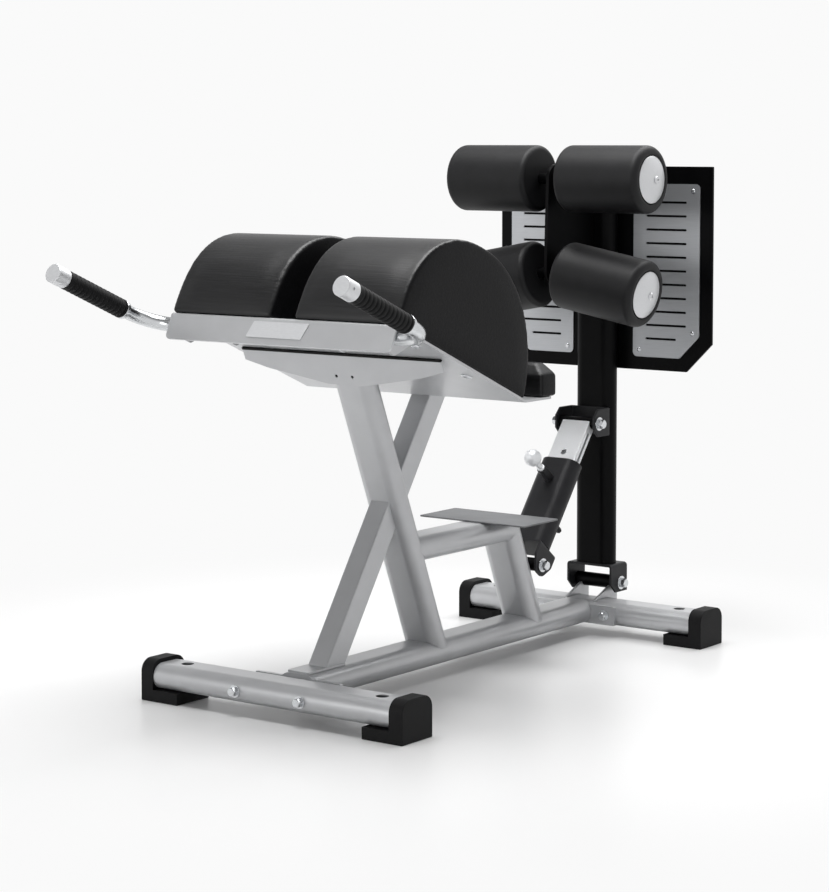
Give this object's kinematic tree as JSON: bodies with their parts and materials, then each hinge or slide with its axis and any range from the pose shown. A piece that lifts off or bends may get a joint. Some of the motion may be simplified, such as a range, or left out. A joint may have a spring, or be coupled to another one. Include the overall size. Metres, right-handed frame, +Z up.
{
  "type": "glute ham developer",
  "caption": "Floor-standing exercise frame with sloped hump pads, hand grips, and a tilting mast with ankle rollers and a foot board held by a pinned telescoping strut.",
  "frame": {"origin": "on the floor, midway between the frontmost and rearmost points and between the two sides", "axes": "+X to the machine's right seen from its front, +Y to the rear where the mast stands, +Z up"},
  "size_m": [0.869, 1.6823, 1.296],
  "materials": {
    "silver_paint": "satin metallic silver",
    "black_paint": "satin black",
    "dark_plate": "fine textured dark grey",
    "rubber": "matte black",
    "vinyl": "soft black vinyl over foam",
    "foam": "matte dark foam",
    "plated_steel": "bright plated",
    "aluminium": "brushed"
  },
  "bodies": {
    "frame": {"badge": "aluminium", "collar_left": "aluminium", "collar_right": "aluminium", "cross_tube": "silver_paint", "front_beam": "silver_paint", "front_bolt_left": "plated_steel", "front_bolt_right": "plated_steel", "front_end_plate": "silver_paint", "front_foot_left": "rubber", "front_foot_right": "rubber", "grip_left": "rubber", "grip_right": "rubber", "gusset": "silver_paint", "handle_left": "plated_steel", "handle_right": "plated_steel", "hinge_lug_left": "aluminium", "hinge_lug_right": "aluminium", "hinge_sleeve": "black_paint", "knee_pad": "vinyl", "leg_a": "silver_paint", "leg_b_lower": "silver_paint", "leg_b_upper": "silver_paint", "pad_left": "vinyl", "pad_right": "vinyl", "pivot_sleeve": "black_paint", "rear_beam": "silver_paint", "rear_bolt_left": "plated_steel", "rear_bolt_right": "plated_steel", "rear_end_plate": "silver_paint", "rear_foot_left": "rubber", "rear_foot_right": "rubber", "rear_leg": "silver_paint", "seat_plate": "silver_paint", "spine": "silver_paint", "step_plate": "dark_plate"},
    "mast": {"foot_board": "black_paint", "hinge_bolt": "plated_steel", "hinge_bracket": "black_paint", "lower_axle": "black_paint", "mast": "black_paint", "roller_plate": "black_paint", "strut_bracket": "black_paint", "strut_top_bolt": "plated_steel", "tread_left": "aluminium", "tread_right": "aluminium", "upper_axle": "black_paint"},
    "strut_outer": {"strut_outer": "black_paint", "strut_fork": "black_paint", "strut_bottom_bolt": "plated_steel"},
    "strut_inner": {"strut_inner": "plated_steel", "top_sleeve": "black_paint"},
    "pull_pin": {"pull_pin": "plated_steel"},
    "roller_upper_right": {"roller_upper_right": "foam", "roller_cap_upper_right": "aluminium"},
    "roller_upper_left": {"roller_upper_left": "foam", "roller_cap_upper_left": "aluminium"},
    "roller_lower_right": {"roller_lower_right": "foam", "roller_cap_lower_right": "aluminium"},
    "roller_lower_left": {"roller_lower_left": "foam", "roller_cap_lower_left": "aluminium"}
  },
  "joints": [
    {"name": "mast_tilt", "type": "hinge", "parent": "frame", "child": "mast", "pos_m": [0, 0.812, 0.126], "axis": [-1, 0, 0], "range_deg": [-5, 10]},
    {"name": "strut_swing", "type": "hinge", "parent": "frame", "child": "strut_outer", "pos_m": [0, 0.44696, 0.222], "axis": [-1, 0, 0], "range_deg": [-3.4, 6.6]},
    {"name": "strut_slide", "type": "slide", "parent": "strut_outer", "child": "strut_inner", "axis": [0, 0.6134, 0.7898], "range_m": [-0.031, 0.061]},
    {"name": "pin_pull", "type": "slide", "parent": "strut_outer", "child": "pull_pin", "axis": [0, -0.7898, 0.6134], "range_m": [0, 0.012], "stiffness_N_per_m": 900, "springref_m": -0.004},
    {"name": "roll_upper_right", "type": "hinge", "parent": "mast", "child": "roller_upper_right", "pos_m": [0, 0.592, 1.209], "axis": [1, 0, 0], "continuous": true},
    {"name": "roll_upper_left", "type": "hinge", "parent": "mast", "child": "roller_upper_left", "pos_m": [0, 0.592, 1.209], "axis": [-1, 0, 0], "continuous": true},
    {"name": "roll_lower_right", "type": "hinge", "parent": "mast", "child": "roller_lower_right", "pos_m": [0, 0.584, 0.969], "axis": [0.9836, 0, -0.1805], "continuous": true},
    {"name": "roll_lower_left", "type": "hinge", "parent": "mast", "child": "roller_lower_left", "pos_m": [0, 0.584, 0.969], "axis": [-0.9836, 0, -0.1805], "continuous": true}
  ],
  "couplings": [
    {"joint": "strut_swing", "follows": "mast_tilt", "ratio": 0.6445},
    {"joint": "strut_slide", "follows": "mast_tilt", "m_per_rad": 0.343}
  ]
}
